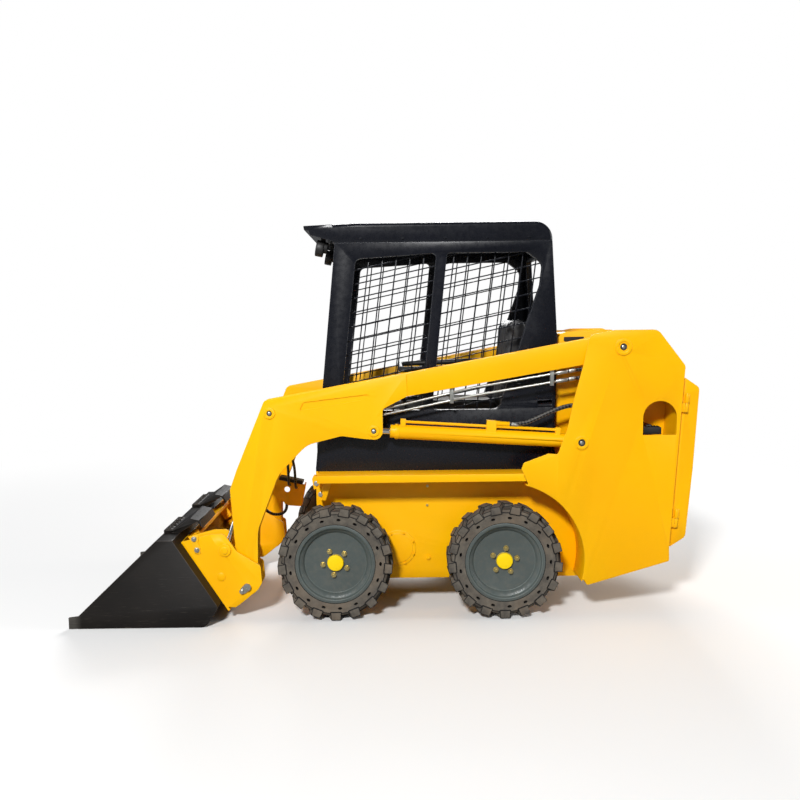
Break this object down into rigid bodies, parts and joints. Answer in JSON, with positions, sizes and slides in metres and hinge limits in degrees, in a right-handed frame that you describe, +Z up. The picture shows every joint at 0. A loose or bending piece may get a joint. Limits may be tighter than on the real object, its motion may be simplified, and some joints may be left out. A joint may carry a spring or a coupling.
{
  "type": "skid steer loader",
  "caption": "Compact wheeled loader with a caged operator cab, rear towers, a raising boom, a tilting coupler and a flat-bottomed digging bucket.",
  "frame": {"origin": "on the ground under the middle of the whole machine's bounding box", "axes": "+X forward towards the bucket, +Y to the machine's left, +Z up"},
  "size_m": [3.0614, 1.24, 1.936],
  "materials": {
    "yellow": "gloss machine yellow",
    "cab_black": "gloss black",
    "bucket_black": "matt black, worn",
    "tyre": "dusty rubber",
    "rim_grey": "satin grey",
    "chrome_rod": "polished",
    "seat_vinyl": "black vinyl",
    "plastic_black": "matt",
    "engine_grey": "cast",
    "hose_rubber": "braided",
    "steel_tube": "zinc plated"
  },
  "bodies": {
    "chassis": {"axle_tubes": "yellow", "belly_pan": "yellow", "cab_floor": "cab_black", "cab_front_header": "cab_black", "cab_rear": "cab_black", "cab_roof": "cab_black", "cab_side_left": "cab_black", "cab_side_right": "cab_black", "chain_cases": "yellow", "control_consoles": "plastic_black", "engine_block": "engine_grey", "engine_hood": "yellow", "fenders": "yellow", "filler_cap": "plastic_black", "guard_screen_left": "cab_black", "guard_screen_right": "cab_black", "rear_crossmember": "yellow", "seat_back": "seat_vinyl", "seat_base": "plastic_black", "seat_cushion": "seat_vinyl", "tower_left": "yellow", "tower_right": "yellow", "work_lamps": "cab_black"},
    "boom": {"lift_arm_left": "yellow", "lift_arm_right": "yellow", "boom_cross_tube": "yellow", "boom_hoses": "hose_rubber", "boom_oil_tubes": "steel_tube", "auxiliary_bracket": "yellow"},
    "bucket": {"quick_coupler": "yellow", "bucket": "bucket_black", "bucket_hooks": "bucket_black"},
    "rear_door": {"rear_door": "yellow"},
    "lap_bar": {"lap_bar": "plastic_black"},
    "wheel_front_left": {"rim_front_left": "rim_grey", "tyre_front_left": "tyre"},
    "wheel_front_right": {"rim_front_right": "rim_grey", "tyre_front_right": "tyre"},
    "wheel_rear_left": {"rim_rear_left": "rim_grey", "tyre_rear_left": "tyre"},
    "wheel_rear_right": {"rim_rear_right": "rim_grey", "tyre_rear_right": "tyre"},
    "lift_barrel_left": {"lift_barrel_left": "yellow", "lift_hose_left": "hose_rubber"},
    "lift_rod_left": {"lift_rod_left": "chrome_rod"},
    "lift_barrel_right": {"lift_barrel_right": "yellow", "lift_hose_right": "hose_rubber"},
    "lift_rod_right": {"lift_rod_right": "chrome_rod"},
    "tilt_barrel_left": {"tilt_barrel_left": "yellow"},
    "tilt_rod_left": {"tilt_rod_left": "chrome_rod"},
    "tilt_barrel_right": {"tilt_barrel_right": "yellow"},
    "tilt_rod_right": {"tilt_rod_right": "chrome_rod"}
  },
  "joints": [
    {"name": "boom_lift", "type": "hinge", "parent": "chassis", "child": "boom", "pos_m": [-1.1495, 0, 1.3273], "axis": [0, -1, 0], "range_deg": [0, 74]},
    {"name": "bucket_tilt", "type": "hinge", "parent": "boom", "child": "bucket", "pos_m": [0.6787, 0, 0.1731], "axis": [0, -1, 0], "range_deg": [-112, 25]},
    {"name": "lift_barrel_left_swing", "type": "hinge", "parent": "chassis", "child": "lift_barrel_left", "pos_m": [-0.9562, 0.47, 0.8683], "axis": [0, -1, 0], "range_deg": [-0.5, 67.83]},
    {"name": "lift_rod_left_stroke", "type": "slide", "parent": "lift_barrel_left", "child": "lift_rod_left", "axis": [0.9979, 0, 0.0654], "range_m": [-0.001, 0.58216]},
    {"name": "tilt_barrel_left_swing", "type": "hinge", "parent": "boom", "child": "tilt_barrel_left", "pos_m": [0.55, 0.47, 1.026], "axis": [0, -1, 0], "range_deg": [-5.58, 1.63]},
    {"name": "tilt_rod_left_stroke", "type": "slide", "parent": "tilt_barrel_left", "child": "tilt_rod_left", "axis": [0.3319, 0, -0.9433], "range_m": [-0.07807, 0.34627]},
    {"name": "lift_barrel_right_swing", "type": "hinge", "parent": "chassis", "child": "lift_barrel_right", "pos_m": [-0.9562, -0.47, 0.8683], "axis": [0, -1, 0], "range_deg": [-0.5, 67.83]},
    {"name": "lift_rod_right_stroke", "type": "slide", "parent": "lift_barrel_right", "child": "lift_rod_right", "axis": [0.9979, 0, 0.0654], "range_m": [-0.001, 0.58216]},
    {"name": "tilt_barrel_right_swing", "type": "hinge", "parent": "boom", "child": "tilt_barrel_right", "pos_m": [0.55, -0.47, 1.026], "axis": [0, -1, 0], "range_deg": [-5.58, 1.63]},
    {"name": "tilt_rod_right_stroke", "type": "slide", "parent": "tilt_barrel_right", "child": "tilt_rod_right", "axis": [0.3319, 0, -0.9433], "range_m": [-0.07807, 0.34627]},
    {"name": "wheel_front_left_turn", "type": "hinge", "parent": "chassis", "child": "wheel_front_left", "pos_m": [0.244, 0.4795, 0.285], "axis": [0, 1, 0], "continuous": true},
    {"name": "wheel_front_right_turn", "type": "hinge", "parent": "chassis", "child": "wheel_front_right", "pos_m": [0.244, -0.4795, 0.285], "axis": [0, 1, 0], "continuous": true},
    {"name": "wheel_rear_left_turn", "type": "hinge", "parent": "chassis", "child": "wheel_rear_left", "pos_m": [-0.588, 0.4795, 0.285], "axis": [0, 1, 0], "continuous": true},
    {"name": "wheel_rear_right_turn", "type": "hinge", "parent": "chassis", "child": "wheel_rear_right", "pos_m": [-0.588, -0.4795, 0.285], "axis": [0, 1, 0], "continuous": true},
    {"name": "rear_door_swing", "type": "hinge", "parent": "chassis", "child": "rear_door", "pos_m": [-1.44352, 0.512, 0.74139], "axis": [0.0664, 0, -0.9978], "range_deg": [0, 100]},
    {"name": "lap_bar_raise", "type": "hinge", "parent": "chassis", "child": "lap_bar", "pos_m": [-0.74, 0, 1.24], "axis": [0, -1, 0], "range_deg": [0, 56]}
  ],
  "couplings": [
    {"joint": "lift_barrel_left_swing", "follows": "boom_lift", "ratio": 0.9098},
    {"joint": "lift_rod_left_stroke", "follows": "boom_lift", "m_per_rad": 0.44997},
    {"joint": "tilt_barrel_left_swing", "follows": "bucket_tilt", "ratio": 0.045308},
    {"joint": "tilt_rod_left_stroke", "follows": "bucket_tilt", "m_per_rad": -0.17663},
    {"joint": "lift_barrel_right_swing", "follows": "boom_lift", "ratio": 0.9098},
    {"joint": "lift_rod_right_stroke", "follows": "boom_lift", "m_per_rad": 0.44997},
    {"joint": "tilt_barrel_right_swing", "follows": "bucket_tilt", "ratio": 0.045308},
    {"joint": "tilt_rod_right_stroke", "follows": "bucket_tilt", "m_per_rad": -0.17663}
  ]
}
